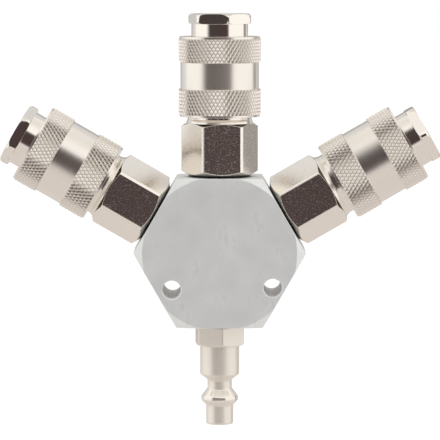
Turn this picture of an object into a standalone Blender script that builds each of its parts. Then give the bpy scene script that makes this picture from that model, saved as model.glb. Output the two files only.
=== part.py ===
"""Air manifold block: a hexagonal block with three ball-lock quick couplers and one inlet plug.

The block's rear face lies in the plane y = 0 with its centre at the origin, its front faces -Y and +Z is
up. The four ports lie in the plane half way through the block. Every fitting is built along the +Z axis
of its own port's empty, whose origin is the block's centre, so a station is a distance from that centre.
A coupler's inner parts stand on a seat, an empty that moves them a little way along their port.
A coupler's radii are worked out from the plug that it takes, one wall or gap after another.
"""

import math

import bmesh
import bpy
from mathutils import Matrix

# Block: hexagonal bar, faced and chamfered on a lathe, with two plain screw holes
BLOCK_FLATS = 0.0480
BLOCK_THICKNESS = 0.0270
BLOCK_CORNER_CHAMFER = 0.0029
BLOCK_CHAMFER_ANGLE = math.radians(30.0)
LEFT_HOLE_ANGLE = math.radians(216.75)
LEFT_HOLE_INSET = 0.00478
RIGHT_HOLE_ANGLE = math.radians(-32.67)
RIGHT_HOLE_INSET = 0.0038
SCREW_HOLE_DIA = 0.0061
SCREW_HOLE_BREAK = 0.0003
PASSAGE_DIA = 0.0080
INLET_PASSAGE_STEP = 0.0003
PASSAGE_PAST_CENTRE = 0.0030

# Ports: how far each fitting's axis leans from straight up, about +Y
TOP_LEAN = math.radians(0.0)
LEFT_LEAN = math.radians(-60.0)
RIGHT_LEAN = math.radians(60.0)
INLET_LEAN = math.radians(180.0)

# Clearances shared by all the fittings
SEAT_GAP = 0.0001
RUNNING_GAP = 0.0002
SLIDING_GAP = 0.00035
END_ROOM = 0.0005
OVERRUN = 0.0010

# Nipple: the threaded tube that joins a coupler to the block
THREAD_DIA = 0.0130
THREAD_CHAMFER = 0.0008
NIPPLE_BORE_DIA = 0.0080
NIPPLE_ROOM = 0.00274
NIPPLE_IN_BODY = 0.0110

# Coupler body: hexagon with a plain neck that the sleeve slides over
BODY_HEX_LENGTH = 0.0172
BODY_FLAT_STEP = 0.0003
BODY_CORNER_STEP = 0.0014
BODY_FOOT_STEP = 0.0029
BODY_FOOT_CHAMFER = 0.0018
BODY_SHOULDER_STEP = 0.00025
BODY_SHOULDER_CHAMFER = 0.0009
NECK_GAP = 0.0004
NECK_WALL = 0.0024
AIRWAY_DIA = 0.0060
SPIGOT_BORE_DEPTH = 0.0074
SPIGOT_WALL = 0.0016
VALVE_CHAMBER_STEP = 0.0016
GASKET_THICKNESS = 0.0006

# Seats: how far each coupler's neck and all that it carries stand out from their middle place
TOP_SEAT_SHIFT = -0.00035
LEFT_SEAT_SHIFT = -0.00035
RIGHT_SEAT_SHIFT = 0.00035

# Sleeve: slides towards the block and lets the balls out
SLEEVE_LENGTH = 0.0262
NECK_SHOWN = 0.0025
SLEEVE_WALL = 0.00155
LIP_STEP = 0.0003
LIP_LENGTH = 0.0007
KNURL_STEP = 0.0002
KNURL_HEIGHT = 0.00055
REAR_KNURL_LENGTH = 0.0082
FRONT_KNURL_LENGTH = 0.0075
KNURL_COLUMNS = 32
KNURL_CELLS = 4
SPRING_SHELF = 0.00165
SPRING_ROOM = 0.0070
SLEEVE_LAND_LENGTH = 0.0051
RAMP_RATIO = 0.45
RAMP_LENGTH = 0.0023
RAMP_LEAD = 0.0004
RECESS_LENGTH = 0.0026
RING_POCKET_DEPTH = 0.0018
RING_SHOULDER = 0.0012

# Socket: screwed into the body, it carries the balls, the seal and the hexagonal nose
SOCKET_WALL = 0.00285
NOSE_SHOWN = 0.0034
COLLAR_LENGTH = 0.0036
COLLAR_FLAT_STEP = 0.00005
COLLAR_CORNER_STEP = 0.0012
COLLAR_ROUND_IN = 0.00125
COLLAR_ROUND_BACK = 0.0013
COLLAR_REAR_BREAK = 0.0003
MOUTH_GAP = 0.0003
MOUTH_CHAMFER = 0.0010
SEAL_GROOVE_DEPTH = 0.00075
SEAL_GROOVE_LENGTH = 0.0036
SEAL_GRIP = 0.00005
SEAL_EDGE = 0.0008
SEAL_TO_BALLS = 0.0063
WEB_THICKNESS = 0.0010
WEB_HOLE_GAP = 0.0012

# Locking balls: held in tapered holes, a quarter turn apart
BALL_DIA = 0.0040
BALL_COUNT = 4
BALL_GAP = 0.00008
BALL_HOLE_LIP = 0.00008
BALL_HOLE_GAP = 0.0002

# Stop ring: keeps the sleeve on the socket
RING_THICKNESS = 0.0010
RING_GROOVE_DEPTH = 0.0008
RING_STEP = 0.0011

# Valve: shuts against a washer and is pushed open by the plug
VALVE_FLANGE_GAP = 0.0004
VALVE_FLANGE_THICKNESS = 0.00125
PUSHER_GAP = 0.00065
PUSHER_WALL = 0.0011
PUSHER_LENGTH = 0.0046
PUSHER_FLOOR = 0.0008
PUSHER_SLOT_WIDTH = 0.0016
PUSHER_SLOT_DEPTH = 0.0020
STEM_DIA = 0.0052
STEM_LENGTH = 0.0044
WASHER_THICKNESS = 0.0009
WASHER_GAP = 0.0005

# Springs: round wire with closed ends
SLEEVE_SPRING_WIRE = 0.0010
SLEEVE_SPRING_TURNS = 1.5
VALVE_SPRING_WIRE = 0.0008
VALVE_SPRING_GAP = 0.0006
VALVE_SPRING_TURNS = 2.0
CLOSED_TURNS = 0.75
CLOSED_PITCH_SHARE = 1.1

# Inlet plug: hexagon, plain cylinder, waist, locking bead and end tube
PLUG_HEX_FLATS = 0.0150
PLUG_HEX_DIA = 0.0171
PLUG_HEX_LENGTH = 0.0068
PLUG_HEX_FACE_DIA = 0.0145
PLUG_HEX_CHAMFER = 0.0008
PLUG_BARREL_DIA = 0.0127
PLUG_BARREL_LENGTH = 0.0094
PLUG_TAPER_LENGTH = 0.0019
PLUG_NECK_DIA = 0.0079
PLUG_NECK_LENGTH = 0.0028
PLUG_BEAD_DIA = 0.0119
PLUG_BEAD_RISE = 0.0026
PLUG_BEAD_CREST = 0.0013
PLUG_BEAD_FALL = 0.0016
PLUG_TUBE_DIA = 0.0088
PLUG_TUBE_LENGTH = 0.0062
PLUG_TUBE_ROUNDING = 0.0007
PLUG_BORE_DIA = 0.0058

# Turn of each hexagon: how far one of its flats faces from the front, towards the port's local +X
BODY_HEX_TURNS = {"top": math.radians(5.0), "left": math.radians(-1.0), "right": math.radians(2.0)}
COLLAR_HEX_TURNS = {"top": math.radians(-12.7), "left": math.radians(3.0), "right": math.radians(30.0)}
PLUG_HEX_TURN = math.radians(22.0)

# Fineness of the facets
BLOCK_FACETS = 48
OUTER_FACETS = 24
BORE_FACETS = 16
INNER_FACETS = 12
BALL_MERIDIANS = 8
BALL_PARALLELS = 5
COIL_STEPS = 9
WIRE_SIDES = 4
HEX_SIDES = 6
SMOOTH_ANGLE = math.radians(35.0)
MERGE_DISTANCE = 0.000001

# Finishes: linear base colour, roughness and metallic value
FINISHES = {
    "aluminium": ((0.56, 0.55, 0.54, 1.0), 0.42, 1.0),
    "nickel": ((0.75, 0.69, 0.62, 1.0), 0.18, 1.0),
    "steel": ((0.55, 0.54, 0.52, 1.0), 0.25, 1.0),
    "rubber": ((0.02, 0.02, 0.02, 1.0), 0.60, 0.0),
    "fibre": ((0.60, 0.57, 0.50, 1.0), 0.70, 0.0),
}

# Stations along a port, from the block's centre outwards
block_flat = BLOCK_FLATS / 2
foot = block_flat + SEAT_GAP
nipple_low = THREAD_DIA / 2 / math.tan(math.pi / HEX_SIDES) + NIPPLE_ROOM
nipple_high = foot + NIPPLE_IN_BODY
hex_high = foot + BODY_HEX_LENGTH
sleeve_low = hex_high + NECK_SHOWN
sleeve_high = sleeve_low + SLEEVE_LENGTH
collar_low = sleeve_high + NOSE_SHOWN
nose_high = collar_low + COLLAR_LENGTH
ring_floor = sleeve_high - RING_POCKET_DEPTH
ring_low = ring_floor + SEAT_GAP
ring_high = ring_low + RING_THICKNESS
ring_shoulder = ring_floor - RING_SHOULDER
ramp_high = ring_shoulder - RECESS_LENGTH
ramp_low = ramp_high - RAMP_LENGTH
land_low = ramp_low - SLEEVE_LAND_LENGTH
neck_high = land_low - SPRING_ROOM
spigot_floor = neck_high - SPIGOT_BORE_DEPTH
chamber_floor = spigot_floor - VALVE_CHAMBER_STEP
spigot_low = spigot_floor + SEAT_GAP + GASKET_THICKNESS + SEAT_GAP
ball_at = ramp_low + RAMP_LEAD
groove_high = ball_at - SEAL_TO_BALLS
groove_low = groove_high - SEAL_GROOVE_LENGTH
web_low = groove_low - WEB_THICKNESS
washer_high = web_low - SEAT_GAP
washer_low = washer_high - WASHER_THICKNESS
flange_high = washer_low - SEAT_GAP
flange_low = flange_high - VALVE_FLANGE_THICKNESS

# Radii of a coupler, from the plug that it takes outwards
thread_bore = THREAD_DIA / 2 + RUNNING_GAP
mouth_radius = PLUG_BEAD_DIA / 2 + MOUTH_GAP
seal_groove_radius = mouth_radius + SEAL_GROOVE_DEPTH
socket_radius = mouth_radius + SOCKET_WALL
ring_groove_radius = socket_radius - RING_GROOVE_DEPTH
ring_radius = socket_radius + RING_STEP
collar_flat = socket_radius + COLLAR_FLAT_STEP
collar_radius = socket_radius + COLLAR_CORNER_STEP
land_radius = socket_radius + SLIDING_GAP
recess_radius = land_radius + RAMP_RATIO * RAMP_LENGTH
ball_radius = BALL_DIA / 2
ball_pitch = land_radius + RAMP_RATIO * RAMP_LEAD - (ball_radius + BALL_GAP) * math.hypot(1.0, RAMP_RATIO)
sleeve_bore_radius = land_radius + SPRING_SHELF
sleeve_spring_radius = sleeve_bore_radius - SLIDING_GAP - SLEEVE_SPRING_WIRE / 2
band_radius = sleeve_bore_radius + SLEEVE_WALL
root_radius = band_radius + KNURL_STEP
crest_radius = root_radius + KNURL_HEIGHT
neck_radius = sleeve_bore_radius - NECK_GAP
body_flat = neck_radius + BODY_FLAT_STEP
body_corner = body_flat + BODY_CORNER_STEP
spigot_bore_radius = neck_radius - NECK_WALL
spigot_radius = spigot_bore_radius - RUNNING_GAP
chamber_radius = spigot_radius - SPIGOT_WALL

# Radii of a valve, from the bore of the seal that the plug's tube fills
seal_bore_radius = PLUG_TUBE_DIA / 2 - SEAL_GRIP
pusher_radius = seal_bore_radius - PUSHER_GAP
web_hole_radius = pusher_radius + WEB_HOLE_GAP
valve_spring_radius = STEM_DIA / 2 + VALVE_SPRING_GAP + VALVE_SPRING_WIRE / 2


def add_material(name, finish):
    """Makes one Principled material from a row of the finishes table."""
    colour, roughness, metallic = FINISHES[finish]
    material = bpy.data.materials.new(name)
    material.use_nodes = True
    shader = material.node_tree.nodes["Principled BSDF"]
    shader.inputs["Base Color"].default_value = colour
    shader.inputs["Roughness"].default_value = roughness
    shader.inputs["Metallic"].default_value = metallic
    material.diffuse_color = colour
    return material


def add_empty(name, lean):
    """Adds a port's empty at the block's centre with its +Z axis along the port."""
    empty = bpy.data.objects.new(name, None)
    empty.location = (0.0, -BLOCK_THICKNESS / 2, 0.0)
    empty.rotation_euler = (0.0, lean, 0.0)
    bpy.context.collection.objects.link(empty)
    return empty


def add_seat(name, port, shift):
    """Adds the empty that a coupler's neck and inner parts stand on, moved along its port."""
    seat = bpy.data.objects.new(name, None)
    seat.parent = port
    seat.location = (0.0, 0.0, shift)
    bpy.context.collection.objects.link(seat)
    return seat


def add_piece(name, bm, parent, finish=None):
    """Turns a bmesh into an object. Without a finish it is a cutter, shown as a wire and not rendered."""
    bmesh.ops.recalc_face_normals(bm, faces=bm.faces[:])
    mesh = bpy.data.meshes.new(name)
    bm.to_mesh(mesh)
    bm.free()
    mesh.shade_smooth()
    mesh.set_sharp_from_angle(angle=SMOOTH_ANGLE)
    piece = bpy.data.objects.new(name, mesh)
    piece.parent = parent
    bpy.context.collection.objects.link(piece)
    if finish:
        mesh.materials.append(add_material(name, finish))
    else:
        piece.hide_render = True
        piece.display_type = "WIRE"
    return piece


def combine(piece, other, operation):
    """Adds an exact Boolean modifier."""
    modifier = piece.modifiers.new(other.name, "BOOLEAN")
    modifier.operation = operation
    modifier.solver = "EXACT"
    modifier.object = other


def turn(outline, facets):
    """Spins an outline of (radius, station) points a full turn about Z. Ends on the axis make flat caps."""
    bm = bmesh.new()
    points = [bm.verts.new((radius, 0.0, station)) for radius, station in outline]
    edges = [bm.edges.new(pair) for pair in zip(points, points[1:])]
    if outline[0][0] > 0.0:
        edges.append(bm.edges.new((points[-1], points[0])))
    bmesh.ops.spin(
        bm,
        geom=points + edges,
        cent=(0.0, 0.0, 0.0),
        axis=(0.0, 0.0, 1.0),
        angle=math.tau,
        steps=facets,
        use_merge=True,
    )
    bmesh.ops.remove_doubles(bm, verts=bm.verts[:], dist=MERGE_DISTANCE)
    centres = [vert for vert in bm.verts if vert.co.xy.length < MERGE_DISTANCE]
    bmesh.ops.dissolve_verts(bm, verts=centres)
    return bm


def hexagon(flats, low, high, facing):
    """Makes a hexagonal prism along Z with the middle of one flat turned by facing from -Y towards +X."""
    bm = bmesh.new()
    corner = flats / 2 / math.cos(math.pi / HEX_SIDES)
    turned = Matrix.Rotation(facing + math.pi / HEX_SIDES, 4, "Z")
    raised = Matrix.Translation((0.0, 0.0, (low + high) / 2))
    bmesh.ops.create_cone(
        bm,
        cap_ends=True,
        segments=HEX_SIDES,
        radius1=corner,
        radius2=corner,
        depth=high - low,
        matrix=raised @ turned,
    )
    return bm


def raise_knurl(bm, low, high, columns, cells, crest):
    """Lifts every other vertex of the rows between two stations, and folds each face at its crests."""
    raised = set()
    spacing = (high - low) / cells
    for vert in bm.verts:
        row = round((vert.co.z - low) / spacing)
        between_rows = abs(vert.co.z - low - row * spacing) > MERGE_DISTANCE
        if between_rows or not 0 < row < cells:
            continue
        column = round(math.atan2(vert.co.y, vert.co.x) / math.tau * columns)
        if (row + column) % 2:
            vert.co.xy *= crest / vert.co.xy.length
            raised.add(vert)
    for face in list(bm.faces):
        crests = [vert for vert in face.verts if vert in raised]
        if crests and len(face.verts) == 4:
            corners = list(face.verts)
            opposite = corners[(corners.index(crests[0]) + 2) % 4]
            bmesh.utils.face_split(face, crests[0], opposite)


def coil(radius, wire, low, high, turns):
    """Sweeps a wire about Z from one station to another: closed turns, open turns, closed turns."""
    bm = bmesh.new()
    upright = Matrix.Rotation(math.radians(90.0), 4, "X")
    start = Matrix.Translation((radius, 0.0, low + wire / 2)) @ upright
    bmesh.ops.create_circle(bm, segments=WIRE_SIDES, radius=wire / 2, matrix=start)
    closed_climb = wire * CLOSED_PITCH_SHARE * CLOSED_TURNS
    open_climb = high - low - wire - 2 * closed_climb
    stages = ((CLOSED_TURNS, closed_climb), (turns, open_climb), (CLOSED_TURNS, closed_climb))
    ends = bm.verts[:] + bm.edges[:]
    for stage_turns, climb in stages:
        steps = round(stage_turns * COIL_STEPS)
        spun = bmesh.ops.spin(
            bm,
            geom=ends,
            cent=(0.0, 0.0, 0.0),
            axis=(0.0, 0.0, 1.0),
            dvec=(0.0, 0.0, climb / steps),
            angle=stage_turns * math.tau,
            steps=steps,
        )
        ends = spun["geom_last"]
    bmesh.ops.holes_fill(bm, edges=[edge for edge in bm.edges if edge.is_boundary])
    return bm


def ring(inner, outer, low, high, facets):
    """Makes a plain flat ring."""
    return turn([(inner, low), (outer, low), (outer, high), (inner, high)], facets)


def clear_scene():
    for item in list(bpy.data.objects):
        bpy.data.objects.remove(item, do_unlink=True)


def make_block(ports):
    """Hexagonal bar with turned chamfers, four threaded ports that meet inside, and two screw holes."""
    frame = bpy.data.objects.new("block_frame", None)
    frame.rotation_euler = (math.radians(90.0), 0.0, 0.0)
    bpy.context.collection.objects.link(frame)
    bar = hexagon(BLOCK_FLATS, -OVERRUN, BLOCK_THICKNESS + OVERRUN, 0.0)
    block = add_piece("manifold_block", bar, frame, "aluminium")

    corner = BLOCK_FLATS / 2 / math.cos(math.pi / HEX_SIDES)
    face = corner - BLOCK_CORNER_CHAMFER
    waist = corner + OVERRUN
    rise = (waist - face) * math.tan(BLOCK_CHAMFER_ANGLE)
    blank = [
        (0.0, 0.0),
        (face, 0.0),
        (waist, rise),
        (waist, BLOCK_THICKNESS - rise),
        (face, BLOCK_THICKNESS),
        (0.0, BLOCK_THICKNESS),
    ]
    combine(block, add_piece("block_chamfer_guide", turn(blank, BLOCK_FACETS), frame), "INTERSECT")

    thread_end = nipple_low - END_ROOM
    for side, port in ports.items():
        passage = PASSAGE_DIA / 2
        if side == "inlet":
            passage += INLET_PASSAGE_STEP
        bore = [
            (0.0, -PASSAGE_PAST_CENTRE),
            (passage, -PASSAGE_PAST_CENTRE),
            (passage, thread_end),
            (thread_bore, thread_end),
            (thread_bore, block_flat + OVERRUN),
            (0.0, block_flat + OVERRUN),
        ]
        cutter = add_piece(side + "_port_cutter", turn(bore, BORE_FACETS), port)
        combine(block, cutter, "DIFFERENCE")

    hole = SCREW_HOLE_DIA / 2
    flare = hole + SCREW_HOLE_BREAK + OVERRUN
    screw_hole = [
        (0.0, -OVERRUN),
        (flare, -OVERRUN),
        (hole, SCREW_HOLE_BREAK),
        (hole, BLOCK_THICKNESS - SCREW_HOLE_BREAK),
        (flare, BLOCK_THICKNESS + OVERRUN),
        (0.0, BLOCK_THICKNESS + OVERRUN),
    ]
    places = {
        "left": (block_flat - LEFT_HOLE_INSET, LEFT_HOLE_ANGLE),
        "right": (block_flat - RIGHT_HOLE_INSET, RIGHT_HOLE_ANGLE),
    }
    for side, (reach, angle) in places.items():
        cutter = add_piece(side + "_screw_cutter", turn(screw_hole, BORE_FACETS), frame)
        cutter.location = (reach * math.cos(angle), reach * math.sin(angle), 0.0)
        combine(block, cutter, "DIFFERENCE")


def make_body(side, port, seat):
    """Turned body cut to a hexagon, with its nipple and the gasket that the socket presses on."""
    shift = seat.location.z
    neck_end = neck_high + shift
    edge = THREAD_CHAMFER
    thread = THREAD_DIA / 2
    bore = NIPPLE_BORE_DIA / 2
    nipple = [
        (bore, nipple_low),
        (thread - edge, nipple_low),
        (thread, nipple_low + edge),
        (thread, nipple_high - edge),
        (thread - edge, nipple_high),
        (bore, nipple_high),
    ]
    add_piece(side + "_nipple", turn(nipple, INNER_FACETS), port, "nickel")

    airway = AIRWAY_DIA / 2
    rear_floor = nipple_high + END_ROOM
    body = [
        (0.0, foot),
        (body_corner - BODY_FOOT_STEP, foot),
        (body_corner, foot + BODY_FOOT_CHAMFER),
        (body_corner, hex_high - BODY_SHOULDER_CHAMFER),
        (neck_radius + BODY_SHOULDER_STEP, hex_high),
        (neck_radius, hex_high),
        (neck_radius, neck_end),
        (0.0, neck_end),
    ]
    bores = [
        (0.0, foot - OVERRUN),
        (thread_bore, foot - OVERRUN),
        (thread_bore, rear_floor),
        (airway, rear_floor),
        (airway, chamber_floor + shift),
        (chamber_radius, chamber_floor + shift),
        (chamber_radius, spigot_floor + shift),
        (spigot_bore_radius, spigot_floor + shift),
        (spigot_bore_radius, neck_end + OVERRUN),
        (0.0, neck_end + OVERRUN),
    ]
    piece = add_piece(side + "_body", turn(body, OUTER_FACETS), port, "nickel")
    prism = hexagon(2 * body_flat, foot - OVERRUN, neck_end + OVERRUN, BODY_HEX_TURNS[side])
    combine(piece, add_piece(side + "_body_hex_guide", prism, port), "INTERSECT")
    combine(piece, add_piece(side + "_body_cutter", turn(bores, BORE_FACETS), port), "DIFFERENCE")

    gasket_low = spigot_floor + SEAT_GAP
    gasket = ring(
        chamber_radius + RUNNING_GAP,
        spigot_radius,
        gasket_low,
        gasket_low + GASKET_THICKNESS,
        INNER_FACETS,
    )
    add_piece(side + "_gasket", gasket, seat, "fibre")


def make_socket(side, seat):
    """Socket with ball holes, ring groove, seal groove and hexagonal collar, and its plug seal."""
    eighth = 1 - math.cos(math.radians(45.0))
    socket = [
        (0.0, spigot_low),
        (spigot_radius, spigot_low),
        (spigot_radius, neck_high + SEAT_GAP),
        (socket_radius, neck_high + SEAT_GAP),
        (socket_radius, ring_floor),
        (ring_groove_radius, ring_floor),
        (ring_groove_radius, ring_high + SEAT_GAP),
        (socket_radius, ring_high + SEAT_GAP),
        (socket_radius, collar_low),
        (collar_radius - COLLAR_REAR_BREAK, collar_low),
        (collar_radius, collar_low + COLLAR_REAR_BREAK),
        (collar_radius, nose_high - COLLAR_ROUND_BACK),
        (collar_radius - COLLAR_ROUND_IN * eighth, nose_high - COLLAR_ROUND_BACK * eighth),
        (collar_radius - COLLAR_ROUND_IN, nose_high),
        (0.0, nose_high),
    ]
    bores = [
        (0.0, spigot_low - OVERRUN),
        (chamber_radius, spigot_low - OVERRUN),
        (chamber_radius, web_low),
        (web_hole_radius, web_low),
        (web_hole_radius, groove_low),
        (seal_groove_radius, groove_low),
        (seal_groove_radius, groove_high),
        (mouth_radius, groove_high),
        (mouth_radius, nose_high - MOUTH_CHAMFER),
        (mouth_radius + MOUTH_CHAMFER + OVERRUN, nose_high + OVERRUN),
        (0.0, nose_high + OVERRUN),
    ]
    piece = add_piece(side + "_socket", turn(socket, OUTER_FACETS), seat, "nickel")
    prism = hexagon(2 * collar_flat, spigot_low - OVERRUN, nose_high + OVERRUN, COLLAR_HEX_TURNS[side])
    combine(piece, add_piece(side + "_collar_hex_guide", prism, seat), "INTERSECT")
    combine(piece, add_piece(side + "_socket_cutter", turn(bores, BORE_FACETS), seat), "DIFFERENCE")

    lip = ball_radius - BALL_HOLE_LIP
    wide = ball_radius + BALL_HOLE_GAP
    hole = [
        (0.0, mouth_radius - OVERRUN),
        (lip, mouth_radius - OVERRUN),
        (lip, mouth_radius),
        (wide, ball_pitch),
        (wide, socket_radius + OVERRUN),
        (0.0, socket_radius + OVERRUN),
    ]
    for number in range(BALL_COUNT):
        angle = math.tau * (number + 0.5) / BALL_COUNT
        cutter = add_piece("%s_ball_hole_cutter_%d" % (side, number + 1), turn(hole, INNER_FACETS), seat)
        cutter.location = (0.0, 0.0, ball_at)
        cutter.rotation_euler = (0.0, math.radians(90.0), angle)
        combine(piece, cutter, "DIFFERENCE")
        ball = bmesh.new()
        bmesh.ops.create_uvsphere(
            ball, u_segments=BALL_MERIDIANS, v_segments=BALL_PARALLELS, radius=ball_radius
        )
        placed = add_piece("%s_ball_%d" % (side, number + 1), ball, seat, "steel")
        placed.location = (ball_pitch * math.cos(angle), ball_pitch * math.sin(angle), ball_at)
        placed.rotation_euler = (0.0, math.radians(90.0), angle)

    low = groove_low + SEAT_GAP
    high = groove_high - SEAT_GAP
    seal = [
        (seal_bore_radius, low + SEAL_EDGE),
        (seal_bore_radius + SEAL_EDGE, low),
        (seal_groove_radius - RUNNING_GAP, low),
        (seal_groove_radius - RUNNING_GAP, high),
        (seal_bore_radius + SEAL_EDGE, high),
        (seal_bore_radius, high - SEAL_EDGE),
    ]
    add_piece(side + "_plug_seal", turn(seal, INNER_FACETS), seat, "rubber")


def make_sleeve(side, seat):
    """Knurled sleeve with a plain middle band and a ramp inside, its spring and its stop ring."""
    rear_low = sleeve_low + LIP_LENGTH
    rear_high = rear_low + REAR_KNURL_LENGTH
    front_high = sleeve_high - LIP_LENGTH
    front_low = front_high - FRONT_KNURL_LENGTH
    lip = band_radius + LIP_STEP

    def rows(low, high):
        spacing = (high - low) / KNURL_CELLS
        return [(root_radius, low + row * spacing) for row in range(1, KNURL_CELLS)]

    outline = [(0.0, sleeve_low), (lip, sleeve_low), (lip, rear_low)]
    outline += rows(rear_low, rear_high)
    outline += [(root_radius, rear_high), (band_radius, rear_high)]
    outline += [(band_radius, front_low), (root_radius, front_low)]
    outline += rows(front_low, front_high)
    outline += [(lip, front_high), (lip, sleeve_high), (0.0, sleeve_high)]
    outside = turn(outline, KNURL_COLUMNS)
    raise_knurl(outside, rear_low, rear_high, KNURL_COLUMNS, KNURL_CELLS, crest_radius)
    raise_knurl(outside, front_low, front_high, KNURL_COLUMNS, KNURL_CELLS, crest_radius)
    piece = add_piece(side + "_sleeve", outside, seat, "nickel")

    pocket = ring_radius + RUNNING_GAP
    inside = [
        (0.0, sleeve_low - OVERRUN),
        (sleeve_bore_radius, sleeve_low - OVERRUN),
        (sleeve_bore_radius, land_low),
        (land_radius, land_low),
        (land_radius, ramp_low),
        (recess_radius, ramp_high),
        (recess_radius, ring_shoulder),
        (land_radius, ring_shoulder),
        (land_radius, ring_floor),
        (pocket, ring_floor),
        (pocket, sleeve_high + OVERRUN),
        (0.0, sleeve_high + OVERRUN),
    ]
    combine(piece, add_piece(side + "_sleeve_cutter", turn(inside, BORE_FACETS), seat), "DIFFERENCE")

    stop = ring(ring_groove_radius + RUNNING_GAP, ring_radius, ring_low, ring_high, BORE_FACETS)
    add_piece(side + "_stop_ring", stop, seat, "steel")
    spring = coil(
        sleeve_spring_radius,
        SLEEVE_SPRING_WIRE,
        neck_high + SEAT_GAP,
        land_low - SEAT_GAP,
        SLEEVE_SPRING_TURNS,
    )
    add_piece(side + "_sleeve_spring", spring, seat, "steel")


def make_valve(side, seat):
    """Poppet with a slotted pusher tube, its washer and its spring."""
    pusher_bore = pusher_radius - PUSHER_WALL
    pusher_high = flange_high + PUSHER_LENGTH
    stem = STEM_DIA / 2
    flange = chamber_radius - VALVE_FLANGE_GAP
    outline = [
        (0.0, flange_low - STEM_LENGTH),
        (stem, flange_low - STEM_LENGTH),
        (stem, flange_low),
        (flange, flange_low),
        (flange, flange_high),
        (pusher_radius, flange_high),
        (pusher_radius, pusher_high),
        (pusher_bore, pusher_high),
        (pusher_bore, flange_high + PUSHER_FLOOR),
        (0.0, flange_high + PUSHER_FLOOR),
    ]
    piece = add_piece(side + "_valve", turn(outline, INNER_FACETS), seat, "nickel")
    slot_low = pusher_high - PUSHER_SLOT_DEPTH
    slot_high = pusher_high + OVERRUN
    length = 2 * pusher_radius + OVERRUN
    for name, turned in (("across", 0.0), ("along", math.radians(90.0))):
        box = bmesh.new()
        size = Matrix.Diagonal((length, PUSHER_SLOT_WIDTH, slot_high - slot_low, 1.0))
        bmesh.ops.create_cube(box, size=1.0, matrix=size)
        cutter = add_piece("%s_slot_cutter_%s" % (side, name), box, seat)
        cutter.location = (0.0, 0.0, (slot_low + slot_high) / 2)
        cutter.rotation_euler = (0.0, 0.0, turned)
        combine(piece, cutter, "DIFFERENCE")

    washer_radius = chamber_radius - WASHER_GAP
    washer = ring(pusher_radius + RUNNING_GAP, washer_radius, washer_low, washer_high, INNER_FACETS)
    add_piece(side + "_valve_washer", washer, seat, "rubber")
    spring = coil(
        valve_spring_radius,
        VALVE_SPRING_WIRE,
        chamber_floor + SEAT_GAP,
        flange_low - SEAT_GAP,
        VALVE_SPRING_TURNS,
    )
    add_piece(side + "_valve_spring", spring, seat, "steel")


def make_inlet_plug(port):
    """Turned plug with a hexagon: thread, barrel, waist, locking bead and end tube, bored through."""
    edge = THREAD_CHAMFER
    thread = THREAD_DIA / 2
    hex_radius = PLUG_HEX_DIA / 2
    hex_face = PLUG_HEX_FACE_DIA / 2
    barrel = PLUG_BARREL_DIA / 2
    neck = PLUG_NECK_DIA / 2
    bead = PLUG_BEAD_DIA / 2
    tube = PLUG_TUBE_DIA / 2
    bore = PLUG_BORE_DIA / 2
    hex_end = foot + PLUG_HEX_LENGTH
    barrel_end = hex_end + PLUG_BARREL_LENGTH
    neck_start = barrel_end + PLUG_TAPER_LENGTH
    neck_end = neck_start + PLUG_NECK_LENGTH
    crest_start = neck_end + PLUG_BEAD_RISE
    crest_end = crest_start + PLUG_BEAD_CREST
    tube_start = crest_end + PLUG_BEAD_FALL
    tube_end = tube_start + PLUG_TUBE_LENGTH
    outline = [
        (0.0, nipple_low),
        (thread - edge, nipple_low),
        (thread, nipple_low + edge),
        (thread, foot),
        (hex_face, foot),
        (hex_radius, foot + PLUG_HEX_CHAMFER),
        (hex_radius, hex_end - PLUG_HEX_CHAMFER),
        (hex_face, hex_end),
        (barrel, hex_end),
        (barrel, barrel_end),
        (neck, neck_start),
        (neck, neck_end),
        (bead, crest_start),
        (bead, crest_end),
        (tube, tube_start),
        (tube, tube_end - PLUG_TUBE_ROUNDING),
        (tube - PLUG_TUBE_ROUNDING, tube_end),
        (0.0, tube_end),
    ]
    bores = [
        (0.0, nipple_low - OVERRUN),
        (bore, nipple_low - OVERRUN),
        (bore, tube_end + OVERRUN),
        (0.0, tube_end + OVERRUN),
    ]
    piece = add_piece("inlet_plug", turn(outline, OUTER_FACETS), port, "nickel")
    prism = hexagon(PLUG_HEX_FLATS, nipple_low - OVERRUN, tube_end + OVERRUN, PLUG_HEX_TURN)
    combine(piece, add_piece("inlet_hex_guide", prism, port), "INTERSECT")
    combine(piece, add_piece("inlet_cutter", turn(bores, BORE_FACETS), port), "DIFFERENCE")


clear_scene()
leans = {"top": TOP_LEAN, "left": LEFT_LEAN, "right": RIGHT_LEAN, "inlet": INLET_LEAN}
ports = {side: add_empty(side + "_port", lean) for side, lean in leans.items()}
shifts = {"top": TOP_SEAT_SHIFT, "left": LEFT_SEAT_SHIFT, "right": RIGHT_SEAT_SHIFT}
seats = {side: add_seat(side + "_seat", ports[side], shift) for side, shift in shifts.items()}
bpy.context.view_layer.update()
make_block(ports)
for side, seat in seats.items():
    make_body(side, ports[side], seat)
    make_socket(side, seat)
    make_sleeve(side, seat)
    make_valve(side, seat)
make_inlet_plug(ports["inlet"])
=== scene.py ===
"""Air manifold block: a hexagonal aluminium block with three ball-lock couplers and one inlet plug.

Each piece is worked out as a grid of points round its own axis, in metres, and set in the frame of the
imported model: the block's rear face is y = 0 with its centre at the origin, its front faces -Y and +Z is up.
"""

import math

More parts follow.
